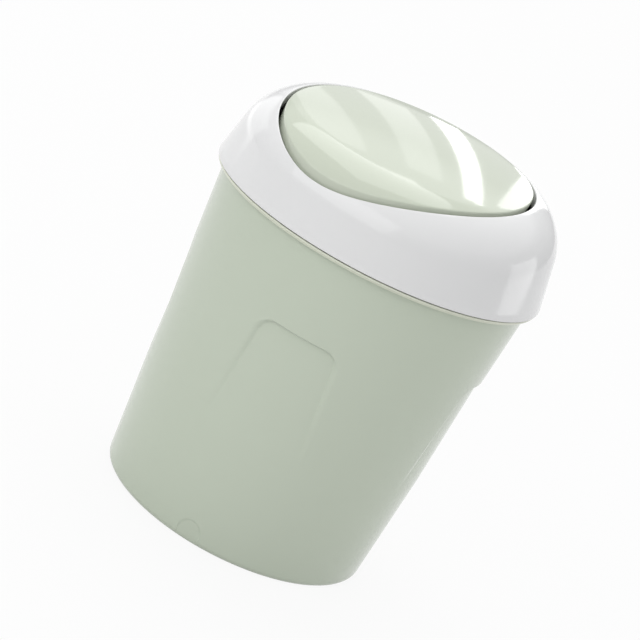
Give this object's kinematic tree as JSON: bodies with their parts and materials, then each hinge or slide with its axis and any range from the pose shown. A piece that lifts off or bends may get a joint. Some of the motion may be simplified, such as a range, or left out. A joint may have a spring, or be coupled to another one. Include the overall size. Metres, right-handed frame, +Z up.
{
  "type": "flip-lid trash can",
  "caption": "Round tapered trash can with a domed white collar and a pale green lid that swings inward and falls shut by itself.",
  "frame": {"origin": "on the floor, on the axis of the round bucket", "axes": "+Z up, -Y towards the front, where the lid slopes down, +X to the right seen from the front"},
  "size_m": [0.2296, 0.2296, 0.2837],
  "materials": {
    "bucket_plastic": "satin",
    "collar_plastic": "gloss",
    "lid_plastic": "gloss",
    "liner_plastic": "matte",
    "screw_steel": "satin",
    "weight_steel": "satin",
    "pin_steel": "satin",
    "bracket_plastic": "matte",
    "bumper_rubber": "matte"
  },
  "bodies": {
    "bucket_body": {"bucket": "bucket_plastic"},
    "collar_body": {"collar": "collar_plastic", "pivot_bracket_left": "bracket_plastic", "pivot_bracket_right": "bracket_plastic", "bracket_screws": "screw_steel", "stop_bumpers": "bumper_rubber"},
    "lid_body": {"lid_cover": "lid_plastic", "lid_liner": "liner_plastic", "liner_screws": "screw_steel", "counterweight": "weight_steel", "counterweight_screws": "screw_steel", "pivot_pin_left": "pin_steel", "pivot_pin_right": "pin_steel"}
  },
  "joints": [
    {"name": "collar_lift", "type": "slide", "parent": "bucket_body", "child": "collar_body", "axis": [0, 0, 1], "range_m": [0, 0.06]},
    {"name": "lid_swing", "type": "hinge", "parent": "collar_body", "child": "lid_body", "pos_m": [0, -0.0118, 0.26022], "axis": [1, 0, 0], "range_deg": [0, 70]}
  ]
}
